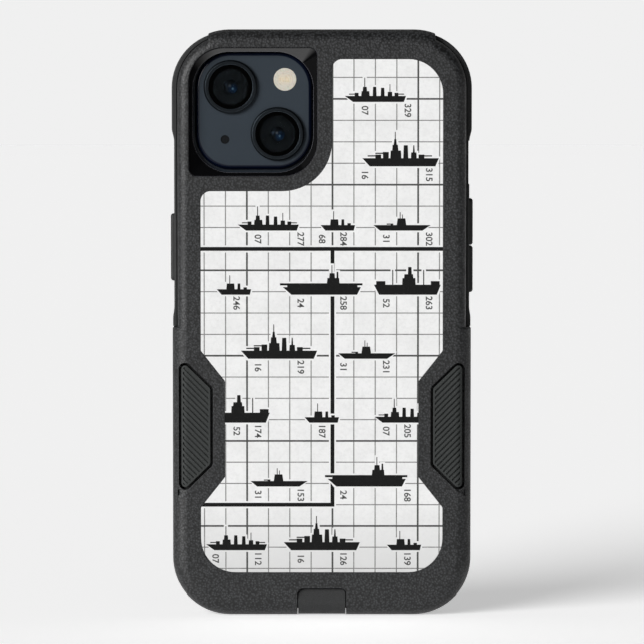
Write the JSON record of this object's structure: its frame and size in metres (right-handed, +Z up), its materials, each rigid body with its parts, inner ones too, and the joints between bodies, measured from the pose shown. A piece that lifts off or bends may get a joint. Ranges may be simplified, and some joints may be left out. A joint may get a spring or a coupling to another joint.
{
  "type": "protective phone case",
  "caption": "Two-layer protective phone case with a printed back panel, ribbed grips, button covers and a hinged port cover, holding a handset.",
  "frame": {"origin": "middle of the footprint, on the surface that the case stands on", "axes": "+Z up the length of the case, +Y from the printed back to the screen side, +X to the right as the back is seen"},
  "size_m": [0.0794, 0.0132, 0.154],
  "materials": {
    "shell": "dark grey polycarbonate with a fine moulded grain",
    "panel": "white printed sheet with black and grey ink",
    "print_ink": "flat black and grey printing ink, as on the chart that is modelled on the panel",
    "adhesive": "thin adhesive film",
    "bezel": "polished black plastic",
    "sleeve": "satin dark grey synthetic rubber",
    "grip": "ribbed dark grey synthetic rubber",
    "handset_metal": "dark blue-grey anodised aluminium",
    "handset_glass": "dark blue-grey tinted glass",
    "camera_plate": "dark blue-grey frosted glass with a polished edge",
    "display_glass": "black display glass, switched off",
    "mesh": "fine dark metal mesh",
    "lens_glass": "coated lens glass",
    "lens_ring": "dark anodised ring",
    "barrel": "black stepped lens barrel",
    "flash": "milky flash lens",
    "contact_metal": "plain steel"
  },
  "bodies": {
    "shell": {"outer_shell": "shell", "back_panel": "panel", "panel_adhesive": "adhesive", "camera_bezel": "bezel"},
    "core": {"inner_sleeve": "sleeve", "grip_pad_left": "grip", "grip_pad_right": "grip", "handset_frame": "handset_metal", "handset_back_glass": "handset_glass", "camera_plate": "camera_plate", "display_glass": "display_glass", "earpiece_grille": "mesh", "rear_microphone": "mesh", "speaker_mesh": "mesh", "front_camera": "lens_glass", "lens_glass_upper": "lens_glass", "lens_glass_lower": "lens_glass", "lens_element_upper": "lens_glass", "lens_element_lower": "lens_glass", "lens_ring_upper": "lens_ring", "lens_ring_lower": "lens_ring", "lens_barrel_upper": "barrel", "lens_barrel_lower": "barrel", "flash_diffuser": "flash", "charging_port": "contact_metal", "port_screws": "contact_metal"},
    "side_button": {"side_button_cover": "sleeve", "handset_side_button": "handset_metal"},
    "volume_up": {"volume_up_cover": "sleeve", "handset_volume_up": "handset_metal"},
    "volume_down": {"volume_down_cover": "sleeve", "handset_volume_down": "handset_metal"},
    "ring_switch": {"ring_switch": "handset_metal"},
    "port_cover": {"port_cover": "sleeve"}
  },
  "joints": [
    {"name": "core_lift_out", "type": "slide", "parent": "shell", "child": "core", "axis": [0, 1, 0], "range_m": [0, 0.03]},
    {"name": "side_button_press", "type": "slide", "parent": "core", "child": "side_button", "axis": [1, 0, 0], "range_m": [0, 0.00035], "stiffness_N_per_m": 400, "springref_m": -0.002},
    {"name": "volume_up_press", "type": "slide", "parent": "core", "child": "volume_up", "axis": [-1, 0, 0], "range_m": [0, 0.00035], "stiffness_N_per_m": 400, "springref_m": -0.002},
    {"name": "volume_down_press", "type": "slide", "parent": "core", "child": "volume_down", "axis": [-1, 0, 0], "range_m": [0, 0.00035], "stiffness_N_per_m": 400, "springref_m": -0.002},
    {"name": "ring_switch_slide", "type": "slide", "parent": "core", "child": "ring_switch", "axis": [0, -1, 0], "range_m": [0, 0.0013]},
    {"name": "port_cover_hinge", "type": "hinge", "parent": "core", "child": "port_cover", "pos_m": [0, 0.00535, 0.00115], "axis": [1, 0, 0], "range_deg": [0, 120]}
  ]
}
